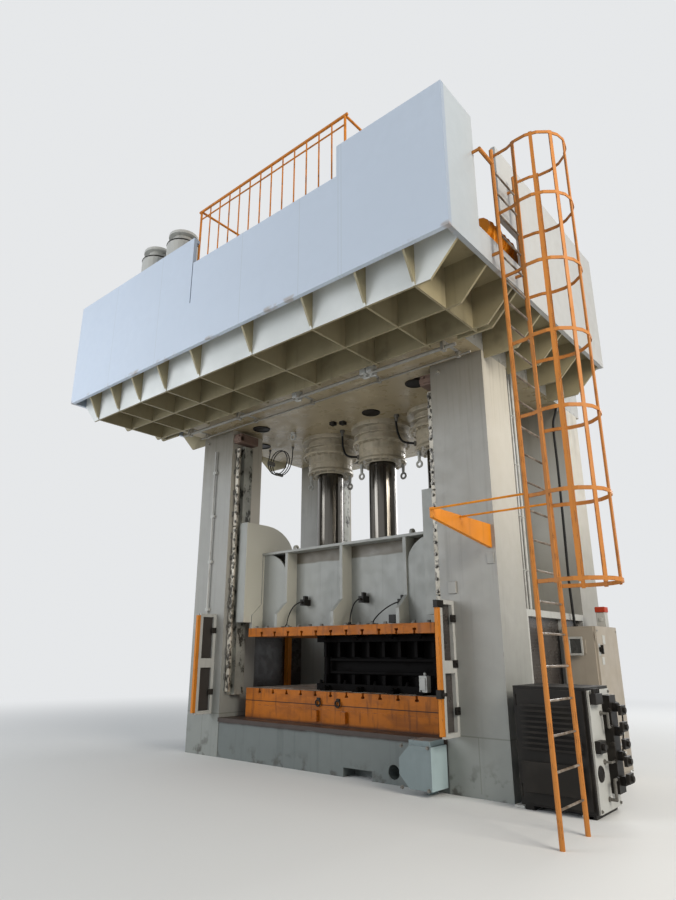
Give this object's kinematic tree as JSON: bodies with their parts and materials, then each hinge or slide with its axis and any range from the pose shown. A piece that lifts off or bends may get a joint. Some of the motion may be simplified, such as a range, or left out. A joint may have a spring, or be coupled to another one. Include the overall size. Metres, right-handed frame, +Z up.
{
  "type": "hydraulic press",
  "caption": "Large straight-side hydraulic press with a ribbed slide between columns, dies on a slotted bolster, a tall-panelled service deck on cantilever ribs, and a caged ladder.",
  "frame": {"origin": "on the floor, midway between the four columns, under the bed", "axes": "+X to the operator's right, towards the ladder; -Y to the front; +Z up"},
  "size_m": [8.78, 6.02, 8.5],
  "materials": {
    "frame_paint": "satin grey-green enamel, aged",
    "fascia_paint": "semi-gloss pale blue-grey enamel",
    "deck_paint": "satin olive-beige enamel",
    "orange_paint": "worn orange enamel",
    "die_steel": "oiled black",
    "chrome": "ground hard chrome",
    "cast_iron": "satin",
    "dark_paint": "satin black",
    "white_paint": "satin white",
    "cabinet_paint": "satin warm grey",
    "motor_paint": "gloss orange"
  },
  "bodies": {
    "frame": {"air_tank_left": "white_paint", "air_tank_right": "white_paint", "bed": "frame_paint", "bolster": "orange_paint", "bolster_base": "orange_paint", "column_conduit": "white_paint", "column_left_front": "frame_paint", "column_left_rear": "frame_paint", "column_right_front": "frame_paint", "column_right_rear": "frame_paint", "control_cabinet": "cabinet_paint", "crown": "deck_paint", "crown_pipe": "frame_paint", "cylinder_centre": "cast_iron", "cylinder_left": "cast_iron", "cylinder_right": "cast_iron", "deck_motor": "motor_paint", "drive_cover": "fascia_paint", "front_deck": "deck_paint", "front_fascia": "fascia_paint", "front_handrail": "orange_paint", "gland_centre": "cast_iron", "gland_left": "cast_iron", "gland_right": "cast_iron", "guard_frame": "white_paint", "guard_frame_left": "white_paint", "guard_pane": "dark_paint", "guard_post": "orange_paint", "guard_strip": "orange_paint", "guard_strip_left": "orange_paint", "guide_rail_left_front": "cast_iron", "guide_rail_left_rear": "cast_iron", "guide_rail_right_front": "cast_iron", "guide_rail_right_rear": "cast_iron", "ladder": "orange_paint", "ladder_cage": "orange_paint", "ladder_stay": "orange_paint", "left_fascia": "fascia_paint", "lower_die": "die_steel", "pump_cabinet": "dark_paint", "pump_side_panel": "white_paint", "rear_fascia": "fascia_paint", "rear_handrail": "orange_paint", "right_fascia": "fascia_paint", "side_deck_left": "deck_paint", "side_deck_right": "deck_paint", "side_guard_left": "white_paint", "side_guard_pane_left": "white_paint", "side_guard_pane_right": "white_paint", "side_guard_right": "white_paint", "valve_manifold": "dark_paint"},
    "slide": {"slide": "frame_paint", "slide_plate": "orange_paint", "upper_die": "die_steel", "piston_rod_left": "chrome", "piston_rod_centre": "chrome", "piston_rod_right": "chrome"},
    "control_cabinet_door": {"control_cabinet_door": "cabinet_paint"},
    "pump_cabinet_door": {"pump_cabinet_door": "dark_paint"},
    "main_switch_handle": {"main_switch_handle": "dark_paint"}
  },
  "joints": [
    {"name": "slide_stroke", "type": "slide", "parent": "frame", "child": "slide", "axis": [0, 0, 1], "range_m": [0, 1.3]},
    {"name": "control_cabinet_hinge", "type": "hinge", "parent": "frame", "child": "control_cabinet_door", "pos_m": [3.4993, 0.0847, 0], "axis": [0, 0, 1], "range_deg": [0, 110]},
    {"name": "pump_cabinet_hinge", "type": "hinge", "parent": "frame", "child": "pump_cabinet_door", "pos_m": [3.22, -1.9353, 0], "axis": [0, 0, -1], "range_deg": [0, 90]},
    {"name": "main_switch_turn", "type": "hinge", "parent": "frame", "child": "main_switch_handle", "pos_m": [3.5106, 0.17, 1.67], "axis": [1, 0, 0], "range_deg": [0, 90]}
  ]
}
